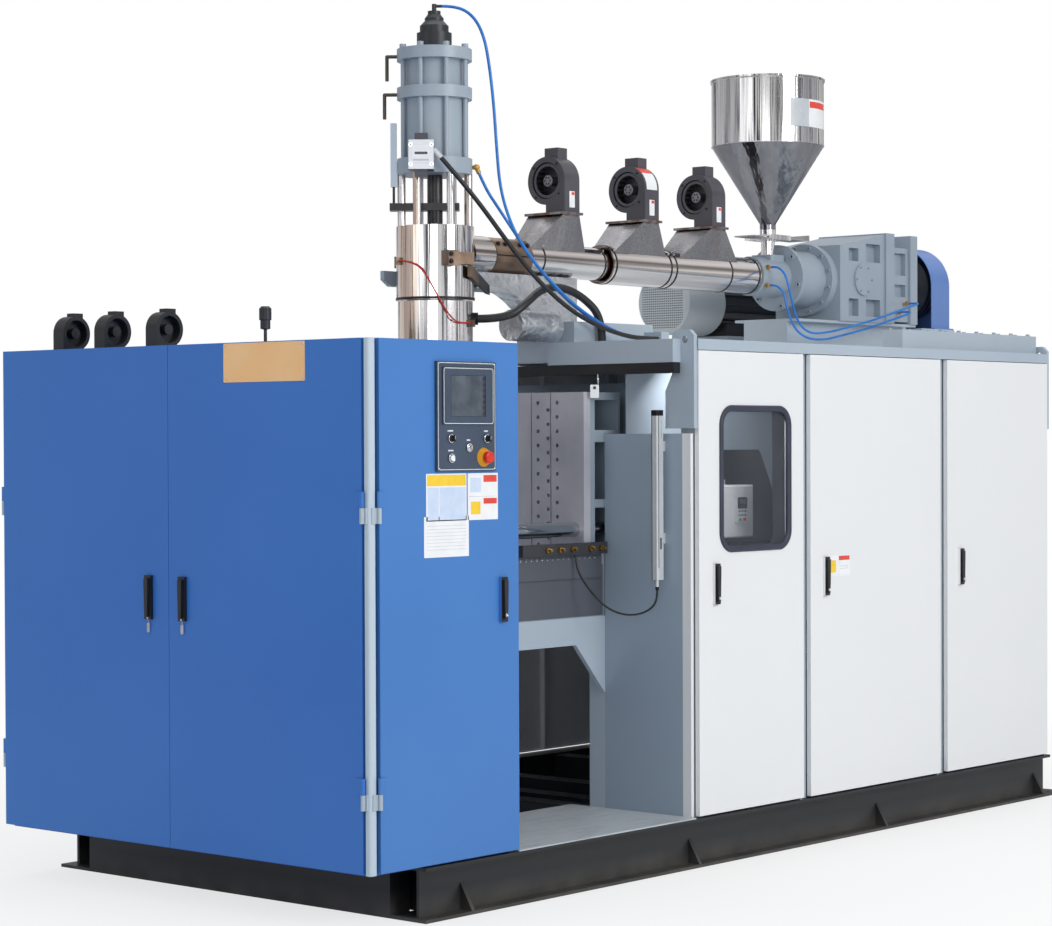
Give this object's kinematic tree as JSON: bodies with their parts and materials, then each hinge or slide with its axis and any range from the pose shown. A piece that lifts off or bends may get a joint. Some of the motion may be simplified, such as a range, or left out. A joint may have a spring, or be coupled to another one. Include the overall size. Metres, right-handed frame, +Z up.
{
  "type": "blow moulding machine",
  "caption": "Accumulator blow moulding machine: enclosed clamp with side platens, deck-mounted extruder and hopper, tall accumulator head, hinged cabinet doors and a skid base.",
  "frame": {"origin": "on the underside of the skid, on the middle line between the front and rear doors, 2.4 m from the blue end doors", "axes": "+X along the machine from the blue end doors to the drive, -Y towards the operator, +Z up"},
  "size_m": [4.7553, 1.996, 3.348],
  "materials": {
    "blue_paint": "satin",
    "white_paint": "satin",
    "grey_paint": "satin",
    "black_paint": "satin",
    "handle_black": "satin",
    "steel": "machined",
    "stainless": "polished",
    "heated_steel": "heat tinted",
    "aluminium": "anodised",
    "rubber_black": "matte",
    "blue_hose": "semi-gloss",
    "button_red": "gloss",
    "button_white": "gloss",
    "window": "clear"
  },
  "bodies": {
    "frame": {"accumulator_cylinder": "grey_paint", "air_hoses": "blue_hose", "barrel": "heated_steel", "barrel_covers": "stainless", "base_frame": "black_paint", "belt_guard": "blue_paint", "blower_casings": "black_paint", "cabinet_frame": "grey_paint", "cabinet_panels": "white_paint", "cables": "rubber_black", "clamp_cylinders": "grey_paint", "clamp_frame": "black_paint", "cooling_ducts": "stainless", "drive_belts": "rubber_black", "drive_motor": "grey_paint", "extruder_bed": "grey_paint", "feed_housing": "grey_paint", "gearbox": "grey_paint", "head_actuator": "grey_paint", "head_body": "steel", "head_columns": "stainless", "head_cover": "stainless", "head_fittings": "black_paint", "hopper": "stainless", "hydraulic_unit": "grey_paint", "inverter": "black_paint", "light_curtains": "aluminium", "roof_fittings": "black_paint", "tie_bars": "stainless", "tread_plate": "steel"},
    "end_door_front": {"end_door_front": "blue_paint"},
    "end_door_rear": {"end_door_rear": "blue_paint"},
    "control_door": {"control_door": "blue_paint", "control_panel": "handle_black"},
    "white_door_1": {"white_door_1": "white_paint", "window_glass": "window"},
    "white_door_2": {"white_door_2": "white_paint"},
    "white_door_3": {"white_door_3": "white_paint"},
    "end_handle_front": {"end_handle_front": "handle_black"},
    "end_handle_rear": {"end_handle_rear": "handle_black"},
    "control_handle": {"control_handle": "handle_black"},
    "white_handle_1": {"white_handle_1": "handle_black"},
    "white_handle_2": {"white_handle_2": "handle_black"},
    "white_handle_3": {"white_handle_3": "handle_black"},
    "platen_right": {"mould_plate_right": "steel", "platen_box_right": "grey_paint"},
    "platen_left": {"mould_plate_left": "steel", "platen_box_left": "grey_paint"},
    "crosshead": {"crosshead": "steel"},
    "blower_wheel_1": {"blower_wheel_1": "steel"},
    "blower_wheel_2": {"blower_wheel_2": "steel"},
    "blower_wheel_3": {"blower_wheel_3": "steel"},
    "screw": {"screw": "steel"},
    "drive_pulley": {"drive_pulley": "steel"},
    "motor_pulley": {"motor_pulley": "steel"},
    "hopper_gate": {"hopper_gate": "stainless"},
    "estop_button": {"estop_button": "button_red"},
    "start_button": {"start_button": "button_white"},
    "selector_left": {"selector_left": "handle_black"},
    "selector_right": {"selector_right": "handle_black"}
  },
  "joints": [
    {"name": "end_door_front_hinge", "type": "hinge", "parent": "frame", "child": "end_door_front", "pos_m": [-2.407, -0.94, 0.5], "axis": [0, 0, 1], "range_deg": [0, 110]},
    {"name": "end_door_rear_hinge", "type": "hinge", "parent": "frame", "child": "end_door_rear", "pos_m": [-2.39, 0.975, 0.5], "axis": [0, 0, -1], "range_deg": [0, 110]},
    {"name": "control_door_hinge", "type": "hinge", "parent": "frame", "child": "control_door", "pos_m": [-2.358, -0.974, 0.5], "axis": [0, 0, -1], "range_deg": [0, 110]},
    {"name": "white_door_1_hinge", "type": "hinge", "parent": "frame", "child": "white_door_1", "pos_m": [0.112, -0.957, 0.21], "axis": [0, 0, 1], "range_deg": [0, 110]},
    {"name": "white_door_2_hinge", "type": "hinge", "parent": "frame", "child": "white_door_2", "pos_m": [1.152, -0.957, 0.21], "axis": [0, 0, 1], "range_deg": [0, 110]},
    {"name": "white_door_3_hinge", "type": "hinge", "parent": "frame", "child": "white_door_3", "pos_m": [2.074, -0.957, 0.21], "axis": [0, 0, 1], "range_deg": [0, 110]},
    {"name": "white_handle_1_turn", "type": "hinge", "parent": "white_door_1", "child": "white_handle_1", "pos_m": [-0.473, -0.979, 1.146], "axis": [0, 1, 0], "range_deg": [0, 90]},
    {"name": "white_handle_2_turn", "type": "hinge", "parent": "white_door_2", "child": "white_handle_2", "pos_m": [0.279, -0.979, 1.146], "axis": [0, 1, 0], "range_deg": [0, 90]},
    {"name": "white_handle_3_turn", "type": "hinge", "parent": "white_door_3", "child": "white_handle_3", "pos_m": [1.325, -0.979, 1.146], "axis": [0, 1, 0], "range_deg": [0, 90]},
    {"name": "control_handle_turn", "type": "hinge", "parent": "control_door", "child": "control_handle", "pos_m": [-1.729, -0.979, 1.146], "axis": [0, 1, 0], "range_deg": [0, 90]},
    {"name": "end_handle_front_turn", "type": "hinge", "parent": "end_door_front", "child": "end_handle_front", "pos_m": [-2.412, -0.048, 1.146], "axis": [1, 0, 0], "range_deg": [0, 90]},
    {"name": "end_handle_rear_turn", "type": "hinge", "parent": "end_door_rear", "child": "end_handle_rear", "pos_m": [-2.412, 0.132, 1.146], "axis": [-1, 0, 0], "range_deg": [0, 90]},
    {"name": "platen_right_slide", "type": "slide", "parent": "frame", "child": "platen_right", "axis": [-1, 0, 0], "range_m": [0, 0.22]},
    {"name": "platen_left_slide", "type": "slide", "parent": "frame", "child": "platen_left", "axis": [1, 0, 0], "range_m": [0, 0.22]},
    {"name": "crosshead_slide", "type": "slide", "parent": "frame", "child": "crosshead", "axis": [0, 0, 1], "range_m": [-0.05, 0.06]},
    {"name": "blower_wheel_1_spin", "type": "hinge", "parent": "frame", "child": "blower_wheel_1", "pos_m": [-0.42, -0.11, 2.711], "axis": [1, 0, 0], "continuous": true},
    {"name": "blower_wheel_2_spin", "type": "hinge", "parent": "frame", "child": "blower_wheel_2", "pos_m": [0.108, -0.11, 2.711], "axis": [1, 0, 0], "continuous": true},
    {"name": "blower_wheel_3_spin", "type": "hinge", "parent": "frame", "child": "blower_wheel_3", "pos_m": [0.582, -0.11, 2.711], "axis": [1, 0, 0], "continuous": true},
    {"name": "drive_pulley_spin", "type": "hinge", "parent": "frame", "child": "drive_pulley", "pos_m": [2.2, -0.11, 2.385], "axis": [1, 0, 0], "continuous": true},
    {"name": "motor_pulley_spin", "type": "hinge", "parent": "frame", "child": "motor_pulley", "pos_m": [2.2, 0.43, 2.29], "axis": [1, 0, 0], "continuous": true},
    {"name": "screw_spin", "type": "hinge", "parent": "frame", "child": "screw", "pos_m": [0, -0.11, 2.385], "axis": [1, 0, 0], "continuous": true},
    {"name": "hopper_gate_slide", "type": "slide", "parent": "frame", "child": "hopper_gate", "axis": [1, 0, 0], "range_m": [0, 0.12]},
    {"name": "estop_press", "type": "slide", "parent": "control_door", "child": "estop_button", "axis": [0, 1, 0], "range_m": [0, 0.005], "stiffness_N_per_m": 1500},
    {"name": "start_press", "type": "slide", "parent": "control_door", "child": "start_button", "axis": [0, 1, 0], "range_m": [0, 0.004], "stiffness_N_per_m": 600},
    {"name": "selector_left_turn", "type": "hinge", "parent": "control_door", "child": "selector_left", "pos_m": [-2.007, -0.982, 1.658], "axis": [0, 1, 0], "range_deg": [-45, 45]},
    {"name": "selector_right_turn", "type": "hinge", "parent": "control_door", "child": "selector_right", "pos_m": [-1.823, -0.982, 1.657], "axis": [0, 1, 0], "range_deg": [-45, 45]}
  ],
  "couplings": [
    {"joint": "platen_left_slide", "follows": "platen_right_slide", "ratio": 1},
    {"joint": "motor_pulley_spin", "follows": "drive_pulley_spin", "ratio": 1.9459},
    {"joint": "screw_spin", "follows": "drive_pulley_spin", "ratio": 0.0625}
  ]
}
